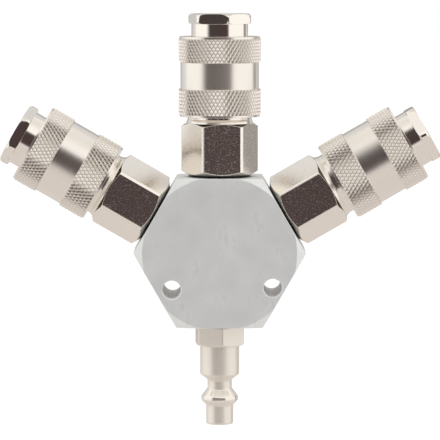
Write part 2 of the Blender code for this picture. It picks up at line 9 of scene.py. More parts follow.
import bmesh
import bpy
import numpy as np
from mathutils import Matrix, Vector


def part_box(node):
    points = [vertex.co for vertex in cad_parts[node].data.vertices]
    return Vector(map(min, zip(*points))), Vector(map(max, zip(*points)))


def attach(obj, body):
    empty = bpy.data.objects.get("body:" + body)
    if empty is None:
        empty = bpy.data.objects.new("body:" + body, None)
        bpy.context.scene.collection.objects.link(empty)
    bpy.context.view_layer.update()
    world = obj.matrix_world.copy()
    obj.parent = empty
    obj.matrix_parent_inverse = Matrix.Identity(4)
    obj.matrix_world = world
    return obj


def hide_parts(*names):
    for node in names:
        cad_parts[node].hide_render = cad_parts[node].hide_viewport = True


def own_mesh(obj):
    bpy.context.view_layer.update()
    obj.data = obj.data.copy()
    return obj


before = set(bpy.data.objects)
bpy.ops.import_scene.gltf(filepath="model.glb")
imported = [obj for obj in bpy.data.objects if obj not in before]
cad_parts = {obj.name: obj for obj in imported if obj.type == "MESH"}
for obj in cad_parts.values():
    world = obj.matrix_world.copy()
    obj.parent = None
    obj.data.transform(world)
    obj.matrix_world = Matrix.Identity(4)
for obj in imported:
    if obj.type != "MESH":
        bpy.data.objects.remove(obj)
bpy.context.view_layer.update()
scene = bpy.context.scene

# ---------------------------------------------------------------------------------------------- camera
# The photograph was taken from about one metre with a long lens, square to the block's front and
# looking slightly down on it, with the block's middle a little below the middle of the picture.
BLOCK_THICKNESS = 0.0270
CAMERA_ELEVATION = math.radians(4.94)
CAMERA_DISTANCE = 1.00
AIM = Vector((0.0001, -BLOCK_THICKNESS / 2, 0.0098))

camera = bpy.data.objects.new("camera", bpy.data.cameras.new("camera"))
camera.data.sensor_width = 36.0
camera.data.lens = 252.4
camera.data.clip_start, camera.data.clip_end = 0.1, 50.0
back = Vector((0.0, -math.cos(CAMERA_ELEVATION), math.sin(CAMERA_ELEVATION)))
camera.location = AIM + CAMERA_DISTANCE * back
camera.rotation_euler = (math.radians(90.0) - CAMERA_ELEVATION, 0.0, 0.0)
scene.collection.objects.link(camera)
scene.camera = camera
scene.view_settings.view_transform = "Standard"

# -------------------------------------------------------------------------------------- block, bar stock
# A length of hexagonal aluminium bar, faced and chamfered on a lathe and tumbled to a satin grey. Two
# screw holes go through it, and four threaded ports meet in its middle.
BLOCK_FLAT = 0.0240
BLOCK_CORNER = BLOCK_FLAT / math.cos(math.radians(30.0))
BLOCK_FACE_RADIUS = BLOCK_CORNER - 0.0029
BLOCK_CHAMFER_SLOPE = math.tan(math.radians(30.0))
BLOCK_EDGE = 0.00012
CENTRE_PIP_RADIUS = 0.0005
CENTRE_PIP_DEPTH = 0.00012
SCREW_HOLES = ((0.01922, math.radians(216.75)), (0.02020, math.radians(-32.67)))
SCREW_HOLE_RADIUS = 0.00293
SCREW_HOLE_BREAK = 0.0003
PASSAGE_RADII = {"top": 0.0040, "left": 0.0040, "right": 0.0040, "inlet": 0.0043}
PORT_THREAD_RADIUS = 0.0067
PORT_THREAD_LOW = 0.0135
PAST_CENTRE = 0.003
PAST_SKIN = 0.001
LEANS = {
    "top": 0.0,
    "left": math.radians(-60.0),
    "right": math.radians(60.0),
    "inlet": math.radians(180.0),
}
SIXTH = math.tau / 6
ROUND_COLUMNS = 64
DRILL_COLUMNS = 48
SHARP_ANGLE = 42.0
HOLE_WALL_TILT = 0.3


def bar_reach(angle, flat, turned, turn=0.0, sharpness=420.0):
    """Distance from the axis to a hexagonal bar turned to a circle, at each angle: the flats' distance
    over the p-norm of the cosines to the six flats and of flat / turned, so each edge is a little round."""
    cosines = np.clip(np.cos(angle[..., None] - turn - np.arange(6) * SIXTH), 0.0, None)
    total = (cosines**sharpness).sum(-1) + (flat / turned) ** sharpness
    return flat / total ** (1.0 / sharpness)


def bar_angles(flat, turned, turn=0.0, steps=7):
    """Angles round a hexagonal bar: even over each flat, close together at both its edges, and a few
    over the turned land between two flats."""
    edge = math.acos(min(max(flat / turned, math.cos(SIXTH / 2)), 1.0))
    land = SIXTH / 2 - edge
    close = np.radians([1.6, 0.8, 0.35, 0.1])
    half = [np.linspace(0.0, edge - close[0], steps), edge - close[1:]]
    half.append(edge + land * np.array([0.15, 0.4, 1.0]) if land > 0.001 else np.array([edge]))
    half = np.concatenate(half)
    across = np.concatenate([-half[:0:-1], half[:-1]])
    return (turn + np.arange(6)[:, None] * SIXTH + across).ravel()


def round_angles(columns):
    """Even angles round a full turn."""
    return np.linspace(0.0, math.tau, columns, endpoint=False)


def rows_of(angle, *points):
    """An outline array [row, column, (radius, station)] from plain pairs and from rows of pairs."""
    return np.stack([np.broadcast_to(np.asarray(point, float), (len(angle), 2)) for point in points])


def soften(outline, width, shut=True):
    """Rounds the corners of an outline: each becomes a holding row, four rows on a quadratic curve from
    one side of the corner to the other, and a holding row. The width is kept under a third of each side."""
    before = np.roll(outline, 1, axis=0) - outline
    after = np.roll(outline, -1, axis=0) - outline
    if not shut:
        before[0], after[-1] = 0.0, 0.0
    width = np.broadcast_to(np.asarray(width, float).reshape(-1, 1, 1), (*outline.shape[:2], 1))
    sides = []
    for step in (before, after):
        length = np.maximum(np.linalg.norm(step, axis=-1, keepdims=True), 1e-9)
        sides.append(step / length * np.minimum(width, 0.3 * length))
    start, end = outline + sides[0], outline + sides[1]
    rows = [outline + 1.5 * sides[0]]
    for share in (0.0, 1 / 3, 2 / 3, 1.0):
        rows.append((1 - share) ** 2 * start + 2 * share * (1 - share) * outline + share**2 * end)
    rows.append(outline + 1.5 * sides[1])
    return np.stack(rows, axis=1).reshape(-1, *outline.shape[1:])


def finish_mesh(name, mesh, sharp=SHARP_ANGLE):
    """Closes poles and seams, turns every face outwards and shades the skin smooth between sharp edges."""
    bm = bmesh.new()
    bm.from_mesh(mesh)
    bmesh.ops.remove_doubles(bm, verts=bm.verts[:], dist=1e-7)
    bmesh.ops.dissolve_degenerate(bm, edges=bm.edges[:], dist=1e-8)
    bmesh.ops.recalc_face_normals(bm, faces=bm.faces[:])
    bm.to_mesh(mesh)
    bm.free()
    mesh.shade_smooth()
    mesh.set_sharp_from_angle(angle=math.radians(sharp))
    piece = bpy.data.objects.new(name, mesh)
    scene.collection.objects.link(piece)
    return piece


def grid_mesh(name, outline, angle, place, shut=True, crossed=None):
    """A mesh from a grid: each row's outline point (radius, station) is carried to each column's angle,
    counted from local -Y towards local +X, and place() turns local points into the frame's points.
    Cells that start in a crossed row are split from low point to low point of a chequered grid."""
    radius, station, angle = np.broadcast_arrays(outline[..., 0], outline[..., 1], angle)
    local = np.stack([radius * np.sin(angle), -radius * np.cos(angle), station], axis=-1)
    here = np.arange(radius.size).reshape(radius.shape)
    beside, above = np.roll(here, -1, axis=1), np.roll(here, -1, axis=0)
    cells = np.stack([here, beside, np.roll(above, -1, axis=1), above], axis=-1)
    cells = cells if shut else cells[:-1]
    if crossed is None:
        faces = cells.reshape(-1, 4).tolist()
    else:
        row, column = np.indices(here.shape)
        low_start = (row + column) % 2 == 0
        faces = cells[~crossed].reshape(-1, 4).tolist()
        for rows, order in ((low_start, ((0, 1, 2), (0, 2, 3))), (~low_start, ((0, 1, 3), (1, 2, 3)))):
            chosen = cells[crossed[:, None] & rows]
            faces += [cell for corners in order for cell in chosen[:, corners].tolist()]
    mesh = bpy.data.meshes.new(name)
    mesh.from_pydata(place(local.reshape(-1, 3)).tolist(), [], faces)
    return mesh


def skin(name, outline, angle, place, shut=True):
    """A finished piece made from a plain grid."""
    return finish_mesh(name, grid_mesh(name, outline, angle, place, shut))


def at_port(side, shift=0.0):
    """Turns a port's local points into the frame's: moved along the port, leaned about +Y, and carried
    to the middle of the block."""
    lean = LEANS[side]

    def place(points):
        x, y, z = points.T
        across = x * math.cos(lean) + (z + shift) * math.sin(lean)
        up = (z + shift) * math.cos(lean) - x * math.sin(lean)
        return np.stack([across, y - BLOCK_THICKNESS / 2, up], axis=-1)

    return place


def from_rear(bearing=0.0, reach=0.0):
    """Turns local points into the frame's, with the station counted forwards from the block's rear face
    and the axis set out from the block's centre at a bearing from +X towards +Z."""

    def place(points):
        x, y, z = points.T
        return np.stack([x + reach * math.cos(bearing), -z, reach * math.sin(bearing) - y], axis=-1)

    return place


def cut(piece, cutters):
    """Takes all the cutters out of the piece for good, in one step, and removes them."""
    drills = bpy.data.collections.new("drills")
    for cutter in cutters:
        drills.objects.link(cutter)
    modifier = piece.modifiers.new("drills", "BOOLEAN")
    modifier.operation, modifier.solver = "DIFFERENCE", "EXACT"
    modifier.operand_type, modifier.collection = "COLLECTION", drills
    bpy.context.view_layer.update()
    cut_mesh = bpy.data.meshes.new_from_object(piece.evaluated_get(bpy.context.evaluated_depsgraph_get()))
    piece.modifiers.clear()
    piece.data = cut_mesh
    cut_mesh.set_sharp_from_angle(angle=math.radians(SHARP_ANGLE))
    for cutter in cutters:
        bpy.data.objects.remove(cutter)
    bpy.data.collections.remove(drills)


# The face's edge is where a 30 degree cone meets the six flats: deep at the corners, a hair at the flats.
angle = bar_angles(BLOCK_FLAT, 2 * BLOCK_CORNER, steps=16)
reach = bar_reach(angle, BLOCK_FLAT, 2 * BLOCK_CORNER)
drop = np.maximum((reach - BLOCK_FACE_RADIUS) * BLOCK_CHAMFER_SLOPE, BLOCK_EDGE)
face = np.minimum(BLOCK_FACE_RADIUS, reach - BLOCK_EDGE)
level = np.full_like(angle, BLOCK_THICKNESS)
bar = rows_of(
    angle,
    (0.0, 0.0),
    np.stack([face, 0 * level], -1),
    np.stack([reach, drop], -1),
    np.stack([reach, level - drop], -1),
    np.stack([face, level], -1),
    (CENTRE_PIP_RADIUS, BLOCK_THICKNESS),
    (0.0, BLOCK_THICKNESS - CENTRE_PIP_DEPTH),
)
bar = soften(bar, (0, 1e-4, 1e-4, 1e-4, 1e-4, 1e-4, 0), False)
bar_block = skin("bar_block", bar, angle, from_rear(), False)
cutters = []
for number, (reach_out, bearing) in enumerate(SCREW_HOLES):
    flare = SCREW_HOLE_RADIUS + SCREW_HOLE_BREAK + PAST_SKIN
    around = round_angles(ROUND_COLUMNS)
    hole = rows_of(
        around,
        (0.0, -PAST_SKIN),
        (flare, -PAST_SKIN),
        (SCREW_HOLE_RADIUS, SCREW_HOLE_BREAK),
        (SCREW_HOLE_RADIUS, BLOCK_THICKNESS - SCREW_HOLE_BREAK),
        (flare, BLOCK_THICKNESS + PAST_SKIN),
        (0.0, BLOCK_THICKNESS + PAST_SKIN),
    )
    cutters.append(skin("screw_drill_%d" % number, hole, around, from_rear(bearing, reach_out), False))
for side, passage in PASSAGE_RADII.items():
    around = round_angles(DRILL_COLUMNS)
    bore = rows_of(
        around,
        (0.0, -PAST_CENTRE),
        (passage, -PAST_CENTRE),
        (passage, PORT_THREAD_LOW),
        (PORT_THREAD_RADIUS, PORT_THREAD_LOW),
        (PORT_THREAD_RADIUS, BLOCK_FLAT + PAST_SKIN),
        (0.0, BLOCK_FLAT + PAST_SKIN),
    )
    cutters.append(skin(side + "_drill", bore, around, at_port(side), False))
cut(bar_block, cutters)


def to_linear(colour):
    """Linear RGBA of an sRGB hex colour, channel by channel on the standard curve."""
    channels = np.array([int(colour[k : k + 2], 16) for k in (1, 3, 5)]) / 255
    curve = np.where(channels <= 0.04045, channels / 12.92, ((channels + 0.055) / 1.055) ** 2.4)
    return (*curve.tolist(), 1.0)


def add_node(tree, kind, inputs=None, **settings):
    """Adds one node. Settings are its properties; inputs are socket values, or outputs to link there."""
    node = tree.nodes.new(kind)
    for key, value in settings.items():
        setattr(node, key, value)
    for key, value in (inputs or {}).items():
        if isinstance(value, bpy.types.NodeSocket):
            tree.links.new(value, node.inputs[key])
        else:
            node.inputs[key].default_value = value
    return node


def start_material(name, **values):
    """A material with an empty tree but for a Principled shader, its socket values and its output."""
    material = bpy.data.materials.new(name)
    material.use_nodes = True
    tree = material.node_tree
    tree.nodes.clear()
    sockets = {key.replace("_", " "): value for key, value in values.items()}
    shader = add_node(tree, "ShaderNodeBsdfPrincipled", sockets)
    add_node(tree, "ShaderNodeOutputMaterial", {"Surface": shader.outputs["BSDF"]})
    return material, tree, shader


# Tumbled and clear-anodised aluminium: an even satin grey that the thin oxide skin makes a little milky, with
# faint cloudy patches and a few short handling marks. The tumbled grain is drawn at 0.4 mm so that it shows.
aluminium, tree, shader = start_material("anodised_aluminium", Metallic=0.62, Specular_IOR_Level=0.5)
where = add_node(tree, "ShaderNodeTexCoord").outputs["Object"]
clouds = add_node(tree, "ShaderNodeTexNoise", {"Vector": where, "Scale": 140.0, "Detail": 4.0})
grain = add_node(tree, "ShaderNodeTexNoise", {"Vector": where, "Scale": 2500.0, "Detail": 2.0})
drawn_out = add_node(tree, "ShaderNodeMapping", {"Vector": where, "Scale": (750.0, 500.0, 260.0)})
marks = add_node(
    tree, "ShaderNodeTexNoise", {"Vector": drawn_out.outputs["Vector"], "Scale": 1.0, "Detail": 3.0}
)
sparse = add_node(
    tree,
    "ShaderNodeMapRange",
    {"Value": clouds.outputs["Fac"], "From Min": 0.50, "From Max": 0.62, "To Max": 0.32},
)
marked = add_node(
    tree,
    "ShaderNodeMapRange",
    {"Value": marks.outputs["Fac"], "From Min": 0.55, "From Max": 0.75, "To Max": sparse.outputs["Result"]},
)
tone = add_node(
    tree,
    "ShaderNodeMix",
    {"Factor": clouds.outputs["Fac"], 6: to_linear("#EEF0EF"), 7: to_linear("#F9FBFA")},
    data_type="RGBA",
)
worn = add_node(
    tree,
    "ShaderNodeMix",
    {"Factor": marked.outputs["Result"], 6: tone.outputs[2], 7: to_linear("#C9CBCA")},
    data_type="RGBA",
)
rough = add_node(
    tree,
    "ShaderNodeMapRange",
    {"Value": clouds.outputs["Fac"], "From Min": 0.3, "From Max": 0.7, "To Min": 0.46, "To Max": 0.54},
)
bump = add_node(
    tree, "ShaderNodeBump", {"Strength": 0.3, "Distance": 0.00002, "Height": grain.outputs["Fac"]}
)
tree.links.new(worn.outputs[2], shader.inputs["Base Color"])
tree.links.new(rough.outputs["Result"], shader.inputs["Roughness"])
tree.links.new(bump.outputs["Normal"], shader.inputs["Normal"])


def dress(piece, material, body, node):
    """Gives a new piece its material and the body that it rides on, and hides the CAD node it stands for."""
    piece.data.materials.clear()
    piece.data.materials.append(material)
    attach(piece, body)
    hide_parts(node)
    return piece


dress(bar_block, aluminium, "manifold", "manifold_block")

# Drilled aluminium: the drill leaves the screw holes' walls brighter and smoother than the tumbled faces.
drilled, tree, shader = start_material("drilled_aluminium", Metallic=0.6)
where = add_node(tree, "ShaderNodeTexCoord").outputs["Object"]
feed_marks = add_node(tree, "ShaderNodeMapping", {"Vector": where, "Scale": (50.0, 2500.0, 50.0)})
marks = add_node(
    tree, "ShaderNodeTexNoise", {"Vector": feed_marks.outputs["Vector"], "Scale": 1.0, "Detail": 2.0}
)
smooth = {"Value": marks.outputs["Fac"], "To Min": 0.20, "To Max": 0.40}
tree.links.new(add_node(tree, "ShaderNodeMapRange", smooth).outputs["Result"], shader.inputs["Roughness"])
shader.inputs["Base Color"].default_value = to_linear("#FAFBFA")
bar_block.data.materials.append(drilled)
count = len(bar_block.data.polygons)
middle, normal, wall = np.empty(count * 3), np.empty(count * 3), np.zeros(count, bool)
bar_block.data.polygons.foreach_get("center", middle)
bar_block.data.polygons.foreach_get("normal", normal)
middle, normal = middle.reshape(-1, 3), normal.reshape(-1, 3)
for reach_out, bearing in SCREW_HOLES:
    aside = middle[:, ::2] - reach_out * np.array([math.cos(bearing), math.sin(bearing)])
    wall |= np.hypot(*aside.T) < SCREW_HOLE_RADIUS + SCREW_HOLE_BREAK
wall &= abs(normal[:, 1]) < HOLE_WALL_TILT
bar_block.data.polygons.foreach_set("material_index", wall.astype(np.int32))

# ------------------------------------------------------------------------------ inlet plug, turned brass
# A plug turned from hexagonal bar and nickel plated. Its thread is screwed into the block's lower flat,
# and its waist and bead are what a coupler on the air line locks behind.
PLUG_TURN = math.radians(23.5)
PLUG_FLAT = 0.0075
PLUG_HEX_RADIUS = 0.00855
PLUG_HEX_FACE = 0.00725
PLUG_BORE = 0.0029
PLUG_BARREL = 0.00635
PLUG_NECK = 0.00395
PLUG_BEAD = 0.00595
PLUG_TUBE = 0.00440
THREAD_RADIUS = 0.0065
THREAD_TIP = 0.0057
THREAD_START = 0.0140
THREAD_FULL = 0.0148
FOOT = 0.0241
PLUG_HEX_RISE = 0.0249
PLUG_HEX_FALL = 0.0301
PLUG_HEX_END = 0.0309
PLUG_BARREL_END = 0.0403
PLUG_NECK_LOW = 0.0422
PLUG_NECK_HIGH = 0.0450
PLUG_BEAD_LOW = 0.0476
PLUG_BEAD_HIGH = 0.0489
PLUG_TUBE_LOW = 0.0505
PLUG_END = 0.0567
RUBBED_LOW = 0.0453
NICKEL_LIGHT = "#FBF7F1"
NICKEL_DARK = "#F4EEE4"
# Painted shade: along a port, plated pieces are painted nearly black below these stations, for the shade in
# their joint with the block.
SEAM_LOW = 0.0244
SEAM_HIGH = 0.0250


def hex_chamfer(inner, outer, reach):
    """Where a chamfer from an inner to an outer (radius, station) meets the hexagon, column by column."""
    share = np.clip((reach - inner[0]) / (outer[0] - inner[0]), 0.0, 1.0)[:, None]
    return np.array(inner) + share * (np.array(outer) - np.array(inner))


def plate(
    name,
    side,
    roughness,
    stretch,
    rings,
    grain_size,
    grain,
    light=NICKEL_LIGHT,
    dark=NICKEL_DARK,
    specks=0.03,
    metallic=1.0,
    valleys=None,
    rubbed=None,
):
    """Nickel plate over turned metal. Light and dark patches follow an uneven grain of the given size,
    and fine rings run round the port's axis; rings and grain are the strengths of their bumps. Stretch
    is how much further the turning marks spread the light along the port than round it, and specks how
    much rougher the raised grain is. A dull deposit is less than fully metallic. Painted shade darkens
    the seam where a piece meets the block, and the valleys of a knurl, given as the radii at their floor
    and at the height where they end. What rubs between two rubbed stations has polished the plate there.
    Real turning rings are too fine to show, so they are drawn coarser, about 0.4 mm apart."""
    material, tree, shader = start_material(name, Metallic=metallic, Anisotropic=stretch)
    lean = LEANS[side]
    axis = (math.sin(lean) + 0.011, 0.013, math.cos(lean) + 0.012)
    shader_axis = add_node(tree, "ShaderNodeCombineXYZ", dict(zip("XYZ", axis)))
    tree.links.new(shader_axis.outputs["Vector"], shader.inputs["Tangent"])
    where = add_node(tree, "ShaderNodeTexCoord").outputs["Object"]
    place = {"Vector": where, "Location": (0, BLOCK_THICKNESS / 2, 0), "Rotation": (0, -lean, 0)}
    along = add_node(tree, "ShaderNodeMapping", place)
    squeeze = {"Vector": along.outputs["Vector"], "Scale": (60.0, 60.0, 2600.0)}
    ring_place = add_node(tree, "ShaderNodeMapping", squeeze)
    ring = add_node(
        tree, "ShaderNodeTexNoise", {"Vector": ring_place.outputs["Vector"], "Scale": 1.0, "Detail": 2.0}
    )
    patch = add_node(
        tree,
        "ShaderNodeTexNoise",
        {"Vector": where, "Scale": 1.0 / grain_size, "Detail": 3.0, "Roughness": 0.6},
    )
    ring_bump = add_node(
        tree, "ShaderNodeBump", {"Strength": rings, "Distance": 0.00002, "Height": ring.outputs["Fac"]}
    )
    grain_bump = add_node(
        tree,
        "ShaderNodeBump",
        {
            "Strength": grain,
            "Distance": 0.00005,
            "Height": patch.outputs["Fac"],
            "Normal": ring_bump.outputs["Normal"],
        },
    )
    tone = add_node(
        tree,
        "ShaderNodeMix",
        {"Factor": patch.outputs["Fac"], 6: to_linear(dark), 7: to_linear(light)},
        data_type="RGBA",
    )
    station = add_node(tree, "ShaderNodeSeparateXYZ", {"Vector": along.outputs["Vector"]}).outputs["Z"]
    # Painted shade: below the seam stations the base colour goes to a near black, for the shade where the
    # piece meets the block.
    past_seam = {"Value": station, "From Min": SEAM_LOW, "From Max": SEAM_HIGH}
    out_of_seam_shade = add_node(tree, "ShaderNodeMapRange", past_seam)
    shade_painted_tone = add_node(
        tree,
        "ShaderNodeMix",
        {"Factor": out_of_seam_shade.outputs["Result"], 6: to_linear("#2A2522"), 7: tone.outputs[2]},
        data_type="RGBA",
    )
    # Painted shade: a knurl's valleys are painted darker up to a given height over their floor, for the shade
    # in them.
    if valleys:
        flattened = {0: along.outputs["Vector"], 1: (1, 1, 0)}
        spoke = add_node(tree, "ShaderNodeVectorMath", flattened, operation="MULTIPLY")
        out = add_node(tree, "ShaderNodeVectorMath", {0: spoke.outputs["Vector"]}, operation="LENGTH")
        out = out.outputs["Value"]
        above = {"Value": out, "From Min": valleys[0], "From Max": valleys[1]}
        above = add_node(tree, "ShaderNodeMapRange", above)
        below = {"Value": out, "From Min": valleys[0] - 0.000015, "From Max": valleys[0] - 0.000025}
        plain = add_node(tree, "ShaderNodeMapRange", below)
        unshaded_share = {0: above.outputs["Result"], 1: plain.outputs["Result"]}
        unshaded_share = add_node(tree, "ShaderNodeMath", unshaded_share, operation="MAXIMUM").outputs[0]
        valley_shade = {"Factor": unshaded_share, 6: to_linear("#CAC3BC"), 7: shade_painted_tone.outputs[2]}
        shade_painted_tone = add_node(tree, "ShaderNodeMix", valley_shade, data_type="RGBA")
    worn = {"From Min": 0.52, "From Max": 0.66, "To Min": roughness, "To Max": roughness + specks}
    rough = add_node(tree, "ShaderNodeMapRange", {"Value": patch.outputs["Fac"], **worn})
    if rubbed:
        start = {"Value": station, "From Min": rubbed[0] - 0.0002, "From Max": rubbed[0]}
        stop = {"Value": station, "From Min": rubbed[1] + 0.0002, "From Max": rubbed[1]}
        share = {0: add_node(tree, "ShaderNodeMapRange", start).outputs["Result"]}
        share[1] = add_node(tree, "ShaderNodeMapRange", stop).outputs["Result"]
        shine = add_node(tree, "ShaderNodeMath", share, operation="MULTIPLY").outputs[0]
        polish = {"Value": shine, "To Min": rough.outputs["Result"], "To Max": 0.12}
        rough = add_node(tree, "ShaderNodeMapRange", polish)
    tree.links.new(shade_painted_tone.outputs[2], shader.inputs["Base Color"])
    tree.links.new(rough.outputs["Result"], shader.inputs["Roughness"])
    tree.links.new(grain_bump.outputs["Normal"], shader.inputs["Normal"])
    return material


angle = bar_angles(PLUG_FLAT, PLUG_HEX_RADIUS, PLUG_TURN)
reach = bar_reach(angle, PLUG_FLAT, PLUG_HEX_RADIUS, PLUG_TURN)
plug_outline = soften(
    rows_of(
        angle,
        (PLUG_BORE, THREAD_START),
        (THREAD_TIP, THREAD_START),
        (THREAD_RADIUS, THREAD_FULL),
        (THREAD_RADIUS, FOOT),
        (PLUG_HEX_FACE, FOOT),
        hex_chamfer((PLUG_HEX_FACE, FOOT), (PLUG_HEX_RADIUS, PLUG_HEX_RISE), reach),
        hex_chamfer((PLUG_HEX_FACE, PLUG_HEX_END), (PLUG_HEX_RADIUS, PLUG_HEX_FALL), reach),
        (PLUG_HEX_FACE, PLUG_HEX_END),
        (PLUG_BARREL, PLUG_HEX_END),
        (PLUG_BARREL, PLUG_BARREL_END),
        (PLUG_NECK, PLUG_NECK_LOW),
        (PLUG_NECK, PLUG_NECK_HIGH),
        (PLUG_BEAD, PLUG_BEAD_LOW),
        (PLUG_BEAD, PLUG_BEAD_HIGH),
        (PLUG_TUBE, PLUG_TUBE_LOW),
        (PLUG_TUBE, PLUG_END),
        (PLUG_BORE, PLUG_END),
    ),
    np.array([1, 1, 1, 1, 1, 1, 1, 1, 1, 2, 4, 4, 6, 6, 3, 7, 2]) * 1e-4,
)
plug = skin("turned_plug", plug_outline, angle, at_port("inlet"))
plug_nickel = plate(
    "dull_nickel_on_turned_plug",
    "inlet",
    roughness=0.46,
    stretch=0.6,
    rings=0.3,
    grain_size=0.0006,
    grain=0.05,
    light="#F9F3EB",
    dark="#F1E9DD",
    metallic=0.72,
    rubbed=(RUBBED_LOW, PLUG_BEAD_HIGH),
)
dress(plug, plug_nickel, "manifold", "inlet_plug")

# ----------------------------------------------------------------------------- coupler bodies, brass bar
# Hexagonal brass bar with a turned foot, shoulder and neck, nickel plated over the drawn skin of the bar,
# which leaves a fine grain on the flats. Each is screwed to the block on a threaded nipple.
SEATS = {"top": -0.00035, "left": -0.00035, "right": 0.00035}
BODY_TURNS = {"top": math.radians(5.0), "left": math.radians(2.0), "right": math.radians(-2.0)}
BODY_FLAT = 0.0110
BODY_RADIUS = 0.0124
NECK_RADIUS = 0.0107
WAIST_RADIUS = 0.01035
SHOULDER_RADIUS = 0.01095
BODY_THREAD = 0.0067
BODY_FOOT_RADIUS = 0.0095
BODY_FOOT_RISE = 0.0259
SHOULDER_LOW = 0.0404
SHOULDER_HIGH = 0.0413
SHOULDER_STEP = 0.0001
WAIST_LOW = 0.0427
WAIST_HIGH = 0.0450
NECK_LOW = 0.0454
NECK_HIGH = 0.0500
NECK_BORE = 0.0083
SPIGOT_FLOOR = 0.0426
SPRING_BORE = 0.0065
SPRING_FLOOR = 0.0410
AIRWAY_RADIUS = 0.0030
BODY_FLOOR = 0.0356
NIPPLE_BORE = 0.0040
NIPPLE_FULL_END = 0.0343
NIPPLE_END = 0.0351

for side, seat in SEATS.items():
    turn = BODY_TURNS[side]
    angle = bar_angles(BODY_FLAT, BODY_RADIUS, turn)
    reach = bar_reach(angle, BODY_FLAT, BODY_RADIUS, turn)
    outline = soften(
        rows_of(
            angle,
            (BODY_THREAD, FOOT),
            (BODY_FOOT_RADIUS, FOOT),
            hex_chamfer((BODY_FOOT_RADIUS, FOOT), (BODY_RADIUS, BODY_FOOT_RISE), reach),
            hex_chamfer((SHOULDER_RADIUS, SHOULDER_HIGH), (BODY_RADIUS, SHOULDER_LOW), reach),
            (SHOULDER_RADIUS, SHOULDER_HIGH),
            (SHOULDER_RADIUS - SHOULDER_STEP, SHOULDER_HIGH),
            (WAIST_RADIUS, WAIST_LOW),
            (WAIST_RADIUS, WAIST_HIGH),
            (NECK_RADIUS, NECK_LOW),
            (NECK_RADIUS, NECK_HIGH + seat),
            (NECK_BORE, NECK_HIGH + seat),
            (NECK_BORE, SPIGOT_FLOOR + seat),
            (SPRING_BORE, SPIGOT_FLOOR + seat),
            (SPRING_BORE, SPRING_FLOOR + seat),
            (AIRWAY_RADIUS, SPRING_FLOOR + seat),
            (AIRWAY_RADIUS, BODY_FLOOR),
            (BODY_THREAD, BODY_FLOOR),
        ),
        0.00012,
    )
    body = skin(side + "_hex_body", outline, angle, at_port(side))
    grained = plate(
        "grained_nickel_on_%s_body" % side,
        side,
        roughness=0.17,
        stretch=0.0,
        rings=0.1,
        grain_size=0.0005,
        grain=0.30,
        specks=0.14,
    )
    dress(body, grained, "manifold", side + "_body")

    around = round_angles(ROUND_COLUMNS)
    outline = soften(
        rows_of(
            around,
            (NIPPLE_BORE, THREAD_START),
            (THREAD_TIP, THREAD_START),
            (THREAD_RADIUS, THREAD_FULL),
            (THREAD_RADIUS, NIPPLE_FULL_END),
            (THREAD_TIP, NIPPLE_END),
            (NIPPLE_BORE, NIPPLE_END),
        ),
        0.0001,
    )
    nipple = skin(side + "_threaded_nipple", outline, around, at_port(side))
    dress(nipple, grained, "manifold", side + "_nipple")

# ---------------------------------------------------------------------------- coupler sockets, turned brass
# Turned brass, nickel plated and bright. It is screwed into the body's neck, carries the balls and the
# seal, and ends in a hexagonal collar with a rounded nose.
SOCKET_RADIUS = 0.0091
COLLAR_TURNS = {"top": math.radians(-13.7), "left": math.radians(5.5), "right": math.radians(30.0)}
COLLAR_FLAT = 0.00907
COLLAR_RADIUS = 0.0103
COLLAR_LOW = 0.0737
NOSE_HIGH = 0.0769
NOSE_ROUND_IN = 0.00125
NOSE_ROUND_BACK = 0.0013
COLLAR_REAR_ROUND = 0.0007
MOUTH_RADIUS = 0.00625
MOUTH_FLARE_RADIUS = 0.00725
MOUTH_FLARE_DEPTH = 0.0010
SEAL_GROOVE_RADIUS = 0.0070
SEAL_GROOVE_LOW = 0.0526
SEAL_GROOVE_HIGH = 0.0562
WEB_BORE = 0.0049
WEB_LOW = 0.0516
CHAMBER_RADIUS = 0.0065
SPIGOT_RADIUS = 0.0081
SPIGOT_LOW = 0.0434
SPIGOT_HIGH = 0.0501
RING_GROOVE_RADIUS = 0.0083
RING_GROOVE_LOW = 0.0682
RING_GROOVE_HIGH = 0.0694
COLLAR_STEP = 0.0001

BALL_COUNT = 4
BALL_STATION = 0.0625
BALL_LIP_RADIUS = 0.00192
BALL_HOLE_RADIUS = 0.0022
BALL_LIP_HIGH = 0.00625
BALL_HOLE_FULL = 0.00735
BALL_DRILL_LOW = 0.0055
BALL_DRILL_HIGH = 0.0100


def outwards(side, seat, number):
    """Turns local points so that their axis runs out from the port's at the numbered ball's bearing."""
    bearing = math.tau * (number + 0.5) / BALL_COUNT

    def place(points):
        x, y, z = points.T
        across = z * math.cos(bearing) - x * math.sin(bearing)
        up = z * math.sin(bearing) + x * math.cos(bearing)
        return at_port(side, seat)(np.stack([across, up, y + BALL_STATION], axis=-1))

    return place


